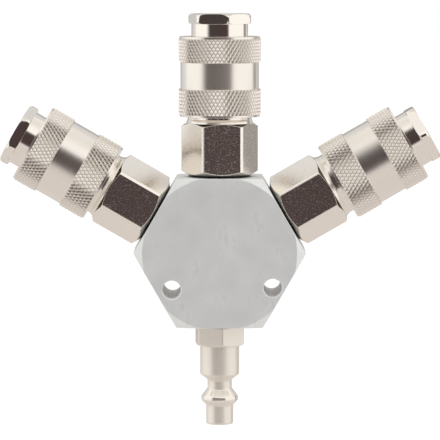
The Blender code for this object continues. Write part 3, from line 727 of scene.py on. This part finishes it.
for side, seat in SEATS.items():
    turn = COLLAR_TURNS[side]
    angle = bar_angles(COLLAR_FLAT, COLLAR_RADIUS, turn)
    reach = bar_reach(angle, COLLAR_FLAT, COLLAR_RADIUS, turn)
    inside = soften(
        rows_of(
            angle,
            (COLLAR_RADIUS - NOSE_ROUND_IN - COLLAR_STEP, NOSE_HIGH),
            (MOUTH_FLARE_RADIUS, NOSE_HIGH),
            (MOUTH_RADIUS, NOSE_HIGH - MOUTH_FLARE_DEPTH),
            (MOUTH_RADIUS, SEAL_GROOVE_HIGH),
            (SEAL_GROOVE_RADIUS, SEAL_GROOVE_HIGH),
            (SEAL_GROOVE_RADIUS, SEAL_GROOVE_LOW),
            (WEB_BORE, SEAL_GROOVE_LOW),
            (WEB_BORE, WEB_LOW),
            (CHAMBER_RADIUS, WEB_LOW),
            (CHAMBER_RADIUS, SPIGOT_LOW),
            (SPIGOT_RADIUS, SPIGOT_LOW),
            (SPIGOT_RADIUS, SPIGOT_HIGH),
            (SOCKET_RADIUS, SPIGOT_HIGH),
            (SOCKET_RADIUS, RING_GROOVE_LOW),
            (RING_GROOVE_RADIUS, RING_GROOVE_LOW),
            (RING_GROOVE_RADIUS, RING_GROOVE_HIGH),
            (SOCKET_RADIUS, RING_GROOVE_HIGH),
            (SOCKET_RADIUS, COLLAR_LOW),
            (SOCKET_RADIUS + COLLAR_STEP, COLLAR_LOW),
        ),
        0.00015,
        False,
    )[5:-5]
    # Two quarter rounds, worked out from where each leaves the flat: cos(start) is how far in that is.
    rounds = []
    rear_middle = COLLAR_LOW + COLLAR_REAR_ROUND
    for inner, centre, radius_in, length in (
        (COLLAR_RADIUS - COLLAR_REAR_ROUND, rear_middle, COLLAR_REAR_ROUND, -COLLAR_REAR_ROUND),
        (COLLAR_RADIUS - NOSE_ROUND_IN, NOSE_HIGH - NOSE_ROUND_BACK, NOSE_ROUND_IN, NOSE_ROUND_BACK),
    ):
        start = np.arccos(np.clip((reach - inner) / radius_in, 0.0, 1.0))
        share = np.linspace(0.0, 1.0, 8)[:, None]
        bend = start + (math.pi / 2 - start) * share
        rows = np.stack([inner + radius_in * np.cos(bend), centre + length * np.sin(bend)], -1)
        rounds.append(np.minimum(rows, np.stack([reach, 0 * reach + 1.0], -1)))
    outline = np.concatenate([rounds[0][::-1], rounds[1], inside])
    socket = skin(side + "_ball_socket", outline, angle, at_port(side, seat))
    ball_holes = []
    for number in range(BALL_COUNT):
        around = round_angles(DRILL_COLUMNS)
        hole = rows_of(
            around,
            (0.0, BALL_DRILL_LOW),
            (BALL_LIP_RADIUS, BALL_DRILL_LOW),
            (BALL_LIP_RADIUS, BALL_LIP_HIGH),
            (BALL_HOLE_RADIUS, BALL_HOLE_FULL),
            (BALL_HOLE_RADIUS, BALL_DRILL_HIGH),
            (0.0, BALL_DRILL_HIGH),
        )
        hole_name = "%s_ball_drill_%d" % (side, number)
        ball_holes.append(skin(hole_name, hole, around, outwards(side, seat, number), False))
    cut(socket, ball_holes)
    bright = plate(
        "bright_nickel_on_%s_socket" % side,
        side,
        roughness=0.12,
        stretch=0.0,
        rings=0.2,
        grain_size=0.0006,
        grain=0.06,
    )
    dress(socket, bright, "manifold", side + "_socket")

# ---------------------------------------------------------------------- coupler sleeves, knurled brass tube
# Turned tube, nickel plated, with two knurled bands and a plain one between them. It slides back against
# a spring, and the ramp inside it then lets the locking balls out.
KNURL_COUNT = 63
KNURL_ROWS = 7
ROOT_RADIUS = 0.01298
CREST_RADIUS = 0.01336
CREST_FLAT = 0.00009
LIP_RADIUS = 0.01295
BAND_RADIUS = 0.01265
BORE_RADIUS = 0.0111
LAND_RADIUS = 0.00945
SLEEVE_FRONTS = {"top": -0.0004, "left": 0.0001, "right": 0.0001}
SLEEVE_LOW = 0.0438
REAR_LIP_END = 0.0445
REAR_KNURL = (0.0446, 0.0526)
BAND_SIDES = ((0.0527, 0.0528), (0.0617, 0.0618))
FRONT_KNURL = (0.0619, 0.0692)
FRONT_LIP_START = 0.0693
SLEEVE_HIGH = 0.0700
RING_POCKET_RADIUS = 0.0104
RING_POCKET_LOW = 0.0682
RECESS_RADIUS = 0.010485
RECESS_HIGH = 0.0670
RAMP_HIGH = 0.0644
RAMP_LOW = 0.0621
SHELF_STATION = 0.0570
BORE_LOW = 0.0440
# Height over the knurl's floor up to which its valleys get painted shade.
VALLEY_SHADE_HEIGHT = 0.00012
BLUNT_ABOVE = 0.0001
KNURL_SHARP_ANGLE = 28.0


def knurl_rows(low, high):
    """Stations of a knurled band, half a diamond apart; the radii are put in with the chequer."""
    station = np.linspace(low, high, KNURL_ROWS + 1)
    return np.stack([0 * station, station], -1)


def edge_rows(*points, width=0.0001):
    """Stations of a plain stretch of the sleeve, with its corners softened."""
    return soften(np.array(points, float)[:, None, :], width, False)[3:-3, 0]


def blunt(mesh, axis_point, axis, radius, flat):
    """Takes the tips off all points further from the axis than the radius: each becomes a small flat."""
    bm = bmesh.new()
    bm.from_mesh(mesh)
    point = np.array([vert.co for vert in bm.verts]) - axis_point
    out = np.linalg.norm(point - (point @ axis)[:, None] * axis, axis=1)
    tips = [vert for vert, far in zip(bm.verts, (out > radius).tolist()) if far]
    bmesh.ops.bevel(bm, geom=tips, offset=flat, segments=1, affect="VERTICES")
    bm.to_mesh(mesh)
    bm.free()


for side, seat in SEATS.items():
    angle = round_angles(2 * KNURL_COUNT)
    front = SLEEVE_FRONTS[side]
    stretches = (
        (
            edge_rows(
                (BORE_RADIUS, SLEEVE_LOW),
                (LIP_RADIUS, SLEEVE_LOW),
                (LIP_RADIUS, REAR_LIP_END),
                (ROOT_RADIUS, REAR_LIP_END),
            ),
            False,
        ),
        (knurl_rows(*REAR_KNURL), True),
        (
            edge_rows(
                (ROOT_RADIUS, BAND_SIDES[0][0]),
                (BAND_RADIUS, BAND_SIDES[0][1]),
                (BAND_RADIUS, BAND_SIDES[1][0] + front),
                (ROOT_RADIUS, BAND_SIDES[1][1] + front),
            ),
            False,
        ),
        (knurl_rows(FRONT_KNURL[0] + front, FRONT_KNURL[1] + front), True),
        (
            edge_rows(
                (ROOT_RADIUS, FRONT_LIP_START + front),
                (LIP_RADIUS, FRONT_LIP_START + front),
                (LIP_RADIUS, SLEEVE_HIGH + front),
                (RING_POCKET_RADIUS, SLEEVE_HIGH + front),
                (RING_POCKET_RADIUS, RING_POCKET_LOW),
                (LAND_RADIUS, RING_POCKET_LOW),
                (LAND_RADIUS, RECESS_HIGH),
                (RECESS_RADIUS, RECESS_HIGH),
                (RECESS_RADIUS, RAMP_HIGH),
                (LAND_RADIUS, RAMP_LOW),
                (LAND_RADIUS, SHELF_STATION),
                (BORE_RADIUS, SHELF_STATION),
                (BORE_RADIUS, BORE_LOW),
            ),
            False,
        ),
    )
    profile = np.concatenate([rows for rows, _ in stretches])[:, None, :]
    knurled = np.concatenate([np.full(len(rows), on) for rows, on in stretches])
    row, column = np.indices((len(profile), len(angle)))
    chequer = np.where((row + column) % 2 == 1, CREST_RADIUS, ROOT_RADIUS)
    radius = np.where(knurled[:, None], chequer, profile[..., 0])
    outline = np.stack([radius, np.broadcast_to(profile[..., 1], radius.shape)], -1)
    crossed = knurled & np.roll(knurled, -1)
    mesh = grid_mesh(side + "_knurled_sleeve", outline, angle, at_port(side, seat), True, crossed)
    lean = LEANS[side]
    axis = np.array([math.sin(lean), 0.0, math.cos(lean)])
    axis_point = np.array([0.0, -BLOCK_THICKNESS / 2, 0.0])
    blunt(mesh, axis_point, axis, CREST_RADIUS - BLUNT_ABOVE, CREST_FLAT)
    sleeve = finish_mesh(side + "_knurled_sleeve", mesh, KNURL_SHARP_ANGLE)
    turned = plate(
        "turned_nickel_on_%s_sleeve" % side,
        side,
        roughness=0.29,
        stretch=0.5,
        rings=0.5,
        grain_size=0.0006,
        grain=0.06,
        # painted shade in the knurl's valleys
        valleys=(ROOT_RADIUS, ROOT_RADIUS + VALLEY_SHADE_HEIGHT),
    )
    dress(sleeve, turned, side + "_sleeve", side + "_sleeve")

# ------------------------------------------------------------------- balls, stop rings and springs, steel
# Hardened and polished bearing balls, a stop ring with rounded edges that holds the sleeve on, and two
# coiled springs a coupler: the wide one pushes the sleeve forwards and the narrow one shuts the valve.
CLOSED_TURNS = 0.75
CLOSED_SHARE = 1.1
COIL_STEPS = 40
COIL_SHARP_ANGLE = 60.0

# Polished steel: a cold, nearly mirror-bright grey. The drawn wire has fine lines that dull it a little.
steel, tree, shader = start_material("polished_bearing_steel", Metallic=1.0, Roughness=0.12)
shader.inputs["Base Color"].default_value = to_linear("#D4D3D1")
wire_steel, tree, shader = start_material("drawn_spring_steel", Metallic=1.0)
where = add_node(tree, "ShaderNodeTexCoord").outputs["Object"]
lines = add_node(tree, "ShaderNodeTexNoise", {"Vector": where, "Scale": 1800.0, "Detail": 2.0})
dull = {"Value": lines.outputs["Fac"], "To Min": 0.22, "To Max": 0.42}
tree.links.new(add_node(tree, "ShaderNodeMapRange", dull).outputs["Result"], shader.inputs["Roughness"])
shader.inputs["Base Color"].default_value = to_linear("#C6C4C1")


def ring(name, side, seat, *points, width=0.0001):
    """A plain turned ring from its section's corners."""
    around = round_angles(ROUND_COLUMNS)
    return skin(name, soften(rows_of(around, *points), width), around, at_port(side, seat))


def coil(name, side, seat, middle, wire, low, high, open_turns):
    """A coiled spring: a round wire whose middle climbs slowly over the closed turns at each end and
    evenly over the open turns between them, closed by a flat at each end."""
    ends = np.cumsum([0.0, CLOSED_TURNS, open_turns, CLOSED_TURNS])
    closed = wire * CLOSED_SHARE * CLOSED_TURNS
    climb = np.array([0.0, closed, high - low - wire - closed, high - low - wire])
    turns = np.linspace(0.0, ends[-1], round(ends[-1] * COIL_STEPS) + 1)
    turns = np.concatenate([turns[:1], turns, turns[-1:]])[:, None]
    thick = np.full(turns.shape, wire / 2)
    thick[0], thick[-1] = 0.0, 0.0
    section = round_angles(12)
    station = low + wire / 2 + np.interp(turns, ends, climb)
    outline = np.stack([middle + thick * np.cos(section), station + thick * np.sin(section)], -1)
    angle = math.tau * (turns + 0.25)
    return finish_mesh(name, grid_mesh(name, outline, angle, at_port(side, seat), False), COIL_SHARP_ANGLE)


for side, seat in SEATS.items():
    for number in range(1, BALL_COUNT + 1):
        node = "%s_ball_%d" % (side, number)
        low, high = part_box(node)
        middle, radius = np.array((low + high) / 2), (high - low).x / 2
        meridian = np.linspace(0.0, math.pi, 17)
        around = round_angles(32)
        section = np.stack([radius * np.sin(meridian), -radius * np.cos(meridian)], -1)[:, None]
        ball_name = side + "_bearing_ball_%d" % number
        ball = skin(ball_name, section, around, lambda points: points + middle, False)
        dress(ball, steel, node, node)
    stop = ring(
        side + "_wire_stop_ring",
        side,
        seat,
        (0.0085, 0.0683),
        (0.0102, 0.0683),
        (0.0102, 0.0693),
        (0.0085, 0.0693),
        width=0.0003,
    )
    dress(stop, wire_steel, "manifold", side + "_stop_ring")
    axis = (math.sin(LEANS[side]), 0.0, math.cos(LEANS[side]))
    for kind, middle, wire, low, high, open_turns, travel in (
        ("sleeve", 0.01025, 0.0010, 0.0501, 0.0569, 1.5, 0.0020),
        ("valve", 0.0036, 0.0008, 0.0411, 0.04915, 2.0, 0.0035),
    ):
        coil_name = "%s_%s_coil_spring" % (side, kind)
        spring = coil(coil_name, side, seat, middle, wire, low, high, open_turns)
        dress(spring, wire_steel, "manifold", "%s_%s_spring" % (side, kind))
        anchor = at_port(side, seat)(np.array([[0.0, 0.0, low]]))[0]
        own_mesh(spring)

# ---------------------------------------------------------------------------------- valves, turned brass
# A poppet with a stem, a flange and a slotted pusher tube, nickel plated. The plug's tube pushes it back,
# and the air then goes through the slots; at rest its rubber washer shuts the way through.
PUSHER_SLOT_WIDTH = 0.0016
PUSHER_SLOT_DEPTH = 0.0020
PUSHER_HIGH = 0.0551
PUSHER_FLOOR = 0.0513
PUSHER_RADIUS = 0.0037
PUSHER_BORE = 0.0026
STEM_RADIUS = 0.0026
STEM_LOW = 0.04485
FLANGE_RADIUS = 0.0061
FLANGE_LOW = 0.04925
FLANGE_HIGH = 0.0505
SLOT_REACH = 0.010

for side, seat in SEATS.items():
    around = round_angles(ROUND_COLUMNS)
    outline = rows_of(
        around,
        (0.0, STEM_LOW),
        (STEM_RADIUS, STEM_LOW),
        (STEM_RADIUS, FLANGE_LOW),
        (FLANGE_RADIUS, FLANGE_LOW),
        (FLANGE_RADIUS, FLANGE_HIGH),
        (PUSHER_RADIUS, FLANGE_HIGH),
        (PUSHER_RADIUS, PUSHER_HIGH),
        (PUSHER_BORE, PUSHER_HIGH),
        (PUSHER_BORE, PUSHER_FLOOR),
        (0.0, PUSHER_FLOOR),
    )
    widths = np.array([0, 2, 2, 2, 2, 2, 2, 2, 2, 0]) * 1e-4
    outline = soften(outline, widths, False)
    valve = skin(side + "_slotted_valve", outline, around, at_port(side, seat), False)
    slots = []
    for wide, deep in ((PUSHER_SLOT_WIDTH, SLOT_REACH), (SLOT_REACH, PUSHER_SLOT_WIDTH)):
        square = math.pi / 4 + round_angles(4)
        low, high = PUSHER_HIGH - PUSHER_SLOT_DEPTH, PUSHER_HIGH + PAST_SKIN
        corner = math.sqrt(0.5)
        prism = rows_of(square, (0.0, low), (corner, low), (corner, high), (0.0, high))
        shape = np.array([wide, deep, 1.0])
        carry = at_port(side, seat)
        slots.append(skin(side + "_slot_cutter", prism, square, lambda points: carry(points * shape), False))
    cut(valve, slots)
    valve_plate = plate(
        "nickel_on_%s_valve" % side,
        side,
        roughness=0.25,
        stretch=0.3,
        rings=0.2,
        grain_size=0.0006,
        grain=0.06,
    )
    dress(valve, valve_plate, side + "_valve", side + "_valve")

# ------------------------------------------------------------------------------ seals, washers and gaskets
# Moulded black nitrile rings seal the plug's tube and the valve's seat, and a ring of pale grey-brown
# vulcanised fibre packs the joint between body and socket.

# Nitrile rubber: nearly black, with a dull bloom that greys its edges.
rubber, tree, shader = start_material("black_nitrile_rubber", Specular_IOR_Level=0.4)
where = add_node(tree, "ShaderNodeTexCoord").outputs["Object"]
bloom = add_node(tree, "ShaderNodeTexNoise", {"Vector": where, "Scale": 900.0, "Detail": 3.0})
black = {"Factor": bloom.outputs["Fac"], 6: to_linear("#161616"), 7: to_linear("#242322")}
mixed = add_node(tree, "ShaderNodeMix", black, data_type="RGBA")
tree.links.new(mixed.outputs[2], shader.inputs["Base Color"])
dull = {"Value": bloom.outputs["Fac"], "To Min": 0.5, "To Max": 0.75}
tree.links.new(add_node(tree, "ShaderNodeMapRange", dull).outputs["Result"], shader.inputs["Roughness"])

# Vulcanised fibre: a hard, matt paper board, mottled where its layers show.
fibre, tree, shader = start_material("vulcanised_fibre", Roughness=0.75)
where = add_node(tree, "ShaderNodeTexCoord").outputs["Object"]
layers = add_node(tree, "ShaderNodeTexNoise", {"Vector": where, "Scale": 1500.0, "Detail": 4.0})
board = {"Factor": layers.outputs["Fac"], 6: to_linear("#B3A68F"), 7: to_linear("#CFC5B0")}
mixed = add_node(tree, "ShaderNodeMix", board, data_type="RGBA")
tree.links.new(mixed.outputs[2], shader.inputs["Base Color"])

for side, seat in SEATS.items():
    seal = ring(
        side + "_moulded_plug_seal",
        side,
        seat,
        (0.00435, 0.0535),
        (0.00515, 0.0527),
        (0.0068, 0.0527),
        (0.0068, 0.0561),
        (0.00515, 0.0561),
        (0.00435, 0.0553),
    )
    dress(seal, rubber, "manifold", side + "_plug_seal")
    washer = ring(
        side + "_moulded_valve_washer",
        side,
        seat,
        (0.0039, 0.0506),
        (0.0060, 0.0506),
        (0.0060, 0.0515),
        (0.0039, 0.0515),
    )
    dress(washer, rubber, side + "_valve", side + "_valve_washer")
    gasket = ring(
        side + "_cut_gasket",
        side,
        seat,
        (0.0067, 0.0427),
        (0.0081, 0.0427),
        (0.0081, 0.0433),
        (0.0067, 0.0433),
        width=0.00005,
    )
    dress(gasket, fibre, "manifold", side + "_gasket")

# ------------------------------------------------------------------------------ floor, light, background
# A pale floor well below the part and a white room. A dark panel stands round the camera, and shows as
# the dark middle of every polished face.
FLOOR_LEVEL = -0.30
FLOOR_RADIUS = 12.0
WHITE = (1.0, 1.0, 1.0, 1.0)
SOFT_WHITE = (1.06, 1.04, 1.02, 1.0)
PANEL = "#473A3A"
PANEL_LEFT = "#443D3C"
BELOW = "#DDD6D2"
BEHIND = "#DADADB"
FAR_BEHIND = "#A8A29F"
STRIPE = "#918B87"
ABOVE = "#E6E1DB"

around = round_angles(ROUND_COLUMNS)
disc = rows_of(around, (0.0, FLOOR_LEVEL), (FLOOR_RADIUS, FLOOR_LEVEL))
floor = skin("floor", disc, around, lambda points: points, False)
floor.visible_glossy = False
paper, tree, shader = start_material("white_paper", Base_Color=to_linear("#E8E8E8"), Roughness=0.9)
path = add_node(tree, "ShaderNodeLightPath")
shader.inputs["Emission Color"].default_value = WHITE
glow = add_node(tree, "ShaderNodeMath", {0: path.outputs["Is Camera Ray"], 1: 0.35}, operation="MULTIPLY")
tree.links.new(glow.outputs[0], shader.inputs["Emission Strength"])
floor.data.materials.append(paper)

world = bpy.data.worlds.new("white_room")
scene.world = world
world.use_nodes = True
tree = world.node_tree
tree.nodes.clear()
outwards_from_part = add_node(tree, "ShaderNodeTexCoord").outputs["Generated"]
toward = add_node(tree, "ShaderNodeSeparateXYZ", {"Vector": outwards_from_part})
to_front = add_node(tree, "ShaderNodeMath", {0: toward.outputs["Y"], 1: -1.0}, operation="MULTIPLY")
sides = {0: toward.outputs["X"], 1: to_front.outputs[0]}
bearing = add_node(tree, "ShaderNodeMath", sides, operation="ARCTAN2")
rise = add_node(tree, "ShaderNodeMath", {0: toward.outputs["Z"]}, operation="ARCSINE")
tilted = {0: bearing.outputs[0], 1: 0.25, 2: rise.outputs[0]}
over_top = add_node(tree, "ShaderNodeMath", tilted, operation="MULTIPLY_ADD")
tilted = {0: bearing.outputs[0], 1: -0.10, 2: rise.outputs[0]}
under = add_node(tree, "ShaderNodeMath", tilted, operation="MULTIPLY_ADD")
turn, up, away = bearing.outputs[0], rise.outputs[0], toward.outputs["Y"]
panel_edges = (
    (turn, math.radians(-58), math.radians(-40)),
    (turn, math.radians(42), math.radians(29)),
    (over_top.outputs[0], math.radians(39), math.radians(28)),
    (under.outputs[0], math.radians(-18), math.radians(-11)),
)
# Each layer lies over the ones before it, as far as the product of its soft edges from start to end.
path = add_node(tree, "ShaderNodeLightPath")
colour = SOFT_WHITE
for over, edges in (
    (BEHIND, ((away, 0.30, 0.60),)),
    (FAR_BEHIND, ((away, 0.80, 0.95),)),
    (BELOW, ((up, math.radians(-4), math.radians(-26)),)),
    (ABOVE, ((up, math.radians(42), math.radians(70)),)),
    (
        STRIPE,
        (
            (turn, math.radians(114), math.radians(120)),
            (turn, math.radians(137), math.radians(132)),
            (up, math.radians(-30), math.radians(-20)),
            (up, math.radians(30), math.radians(20)),
        ),
    ),
    (PANEL_LEFT, panel_edges),
    (PANEL, (*panel_edges, (turn, math.radians(-17), math.radians(-9)))),
):
    share = 1.0
    for value, start, end in edges:
        soft_edge = {"Value": value, "From Min": start, "From Max": end}
        edge = add_node(tree, "ShaderNodeMapRange", soft_edge, interpolation_type="SMOOTHSTEP")
        both = {0: share, 1: edge.outputs["Result"]}
        share = add_node(tree, "ShaderNodeMath", both, operation="MULTIPLY").outputs[0]
    layer = {"Factor": share, 6: colour, 7: to_linear(over)}
    colour = add_node(tree, "ShaderNodeMix", layer, data_type="RGBA").outputs[2]
plain = add_node(
    tree,
    "ShaderNodeMix",
    {"Factor": path.outputs["Is Glossy Ray"], 6: (0.9, 0.9, 0.9, 1.0), 7: colour},
    data_type="RGBA",
)
seen = add_node(
    tree,
    "ShaderNodeMix",
    {"Factor": path.outputs["Is Camera Ray"], 6: plain.outputs[2], 7: WHITE},
    data_type="RGBA",
)
light = add_node(tree, "ShaderNodeBackground", {"Color": seen.outputs[2], "Strength": 1.0})
add_node(tree, "ShaderNodeOutputWorld", {"Surface": light.outputs[0]})

lamp = bpy.data.objects.new("softbox", bpy.data.lights.new("softbox", "AREA"))
lamp.data.shape, lamp.data.size = "SQUARE", 0.8
lamp.data.energy = 4.0
lamp.location = (-0.5, -0.6, 1.2)
lamp.rotation_euler = (-lamp.location).to_track_quat("-Z", "Y").to_euler()
lamp.visible_glossy = False
scene.collection.objects.link(lamp)
